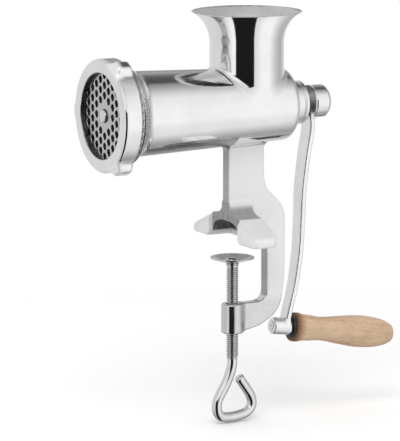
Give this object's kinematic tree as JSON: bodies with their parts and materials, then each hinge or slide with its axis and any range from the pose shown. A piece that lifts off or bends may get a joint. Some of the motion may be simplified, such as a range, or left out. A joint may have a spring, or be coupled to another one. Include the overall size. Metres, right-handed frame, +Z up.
{
  "type": "manual meat grinder",
  "caption": "Hand-cranked meat grinder: trumpet hopper on a tapered barrel, ring nut with hole plate, S-bent crank with wooden grip, and a screw clamp for a table edge.",
  "frame": {"origin": "where the clamp screw's axis meets the underside of the upper jaw, which rests on the table", "axes": "+Z up along the clamp screw, -X towards the outlet, +X towards the crank, Y across the jaw"},
  "size_m": [0.2512, 0.1, 0.3132],
  "materials": {
    "polished_casting": "mirror polished",
    "satin_casting": "satin polished",
    "turned_metal": "turned",
    "steel": "ground",
    "plated_steel": "bright zinc plated",
    "bearing_plastic": "plain",
    "wood": "turned and oiled"
  },
  "bodies": {
    "grinder_body": {"barrel": "polished_casting", "hopper": "polished_casting", "clamp_frame": "satin_casting", "rear_bush": "turned_metal", "bearing_sleeve": "bearing_plastic", "thrust_washer": "bearing_plastic", "plate_key": "steel"},
    "crank": {"feed_screw": "turned_metal", "drive_shank": "steel", "knife_stud": "steel", "knife": "steel", "crank_arm": "polished_casting", "crank_knob": "polished_casting", "handle_spindle": "steel", "grip_washer": "steel"},
    "grip": {"handle_grip": "wood"},
    "plate": {"grinding_plate": "steel"},
    "ring": {"ring_nut": "polished_casting"},
    "disc": {"pressure_disc": "plated_steel"},
    "screw": {"clamp_screw": "plated_steel"}
  },
  "joints": [
    {"name": "crank_turn", "type": "hinge", "parent": "grinder_body", "child": "crank", "pos_m": [0.012, 0, 0.101], "axis": [1, 0, 0], "continuous": true},
    {"name": "grip_turn", "type": "hinge", "parent": "crank", "child": "grip", "pos_m": [0.04505, 0, -0.071], "axis": [0.989, 0, -0.1478], "continuous": true},
    {"name": "plate_out", "type": "slide", "parent": "grinder_body", "child": "plate", "axis": [-1, 0, 0], "range_m": [0, 0.007]},
    {"name": "ring_turn", "type": "hinge", "parent": "plate", "child": "ring", "pos_m": [-0.1, 0, 0.101], "axis": [-1, 0, 0], "range_deg": [0, 1259]},
    {"name": "disc_lift", "type": "slide", "parent": "grinder_body", "child": "disc", "axis": [0, 0, 1], "range_m": [-0.027, 0.013]},
    {"name": "clamp_turn", "type": "hinge", "parent": "disc", "child": "screw", "pos_m": [0, 0, -0.05], "axis": [0, 0, 1], "range_deg": [-6074, 2924]}
  ],
  "couplings": [
    {"joint": "plate_out", "follows": "ring_turn", "m_per_rad": 0.00031831},
    {"joint": "disc_lift", "follows": "clamp_turn", "m_per_rad": 0.00025465}
  ]
}
